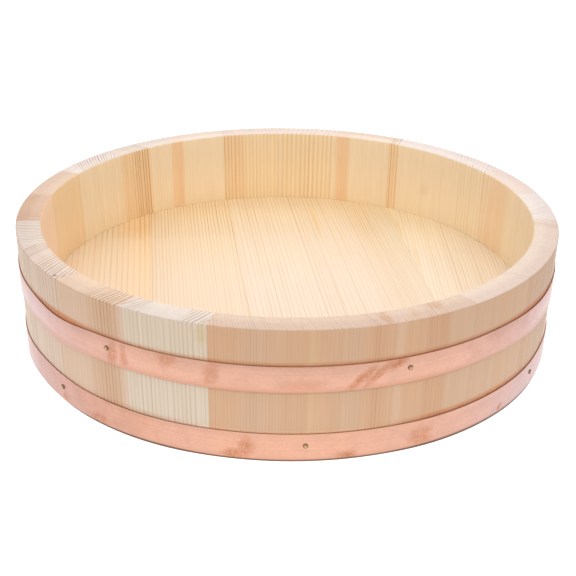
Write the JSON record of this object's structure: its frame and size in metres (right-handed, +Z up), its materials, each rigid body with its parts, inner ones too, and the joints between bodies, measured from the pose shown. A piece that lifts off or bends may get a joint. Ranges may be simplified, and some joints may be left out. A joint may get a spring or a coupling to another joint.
{
  "type": "sushi rice tub",
  "caption": "Wide shallow coopered wooden tub with tapered staves, a plank floor set in a groove and lapped copper hoops held by brass nails, for cooling and mixing sushi rice.",
  "frame": {"origin": "centre of the tub at the level of the surface it stands on", "axes": "+Z up along the tub's axis, -Y towards the side seen in the picture"},
  "size_m": [0.3618, 0.3611, 0.085],
  "materials": {
    "stave_wood": "planed, unfinished pale softwood",
    "floor_wood": "planed, unfinished pale softwood, quarter-sawn",
    "bamboo": "split bamboo",
    "copper": "satin copper with light tarnish",
    "nail_brass": "polished brass"
  },
  "bodies": {
    "root": {"stave_01": "stave_wood", "stave_02": "stave_wood", "stave_03": "stave_wood", "stave_04": "stave_wood", "stave_05": "stave_wood", "stave_06": "stave_wood", "stave_07": "stave_wood", "stave_08": "stave_wood", "stave_09": "stave_wood", "stave_10": "stave_wood", "stave_11": "stave_wood", "stave_12": "stave_wood", "stave_13": "stave_wood", "stave_14": "stave_wood", "stave_15": "stave_wood", "stave_16": "stave_wood", "stave_17": "stave_wood", "stave_18": "stave_wood", "stave_19": "stave_wood", "stave_20": "stave_wood", "stave_21": "stave_wood", "stave_22": "stave_wood", "floor_board_1": "floor_wood", "floor_board_2": "floor_wood", "floor_board_3": "floor_wood", "floor_board_4": "floor_wood", "floor_board_5": "floor_wood", "floor_dowel_1": "bamboo", "floor_dowel_2": "bamboo", "floor_dowel_3": "bamboo", "floor_dowel_4": "bamboo", "floor_dowel_5": "bamboo", "floor_dowel_6": "bamboo", "floor_dowel_7": "bamboo", "floor_dowel_8": "bamboo", "upper_hoop": "copper", "lower_hoop": "copper", "upper_nail_1": "nail_brass", "upper_nail_2": "nail_brass", "upper_nail_3": "nail_brass", "upper_nail_4": "nail_brass", "upper_nail_5": "nail_brass", "upper_nail_6": "nail_brass", "upper_nail_7": "nail_brass", "lower_nail_1": "nail_brass", "lower_nail_2": "nail_brass", "lower_nail_3": "nail_brass", "lower_nail_4": "nail_brass", "lower_nail_5": "nail_brass", "lower_nail_6": "nail_brass", "lower_nail_7": "nail_brass"}
  },
  "joints": []
}
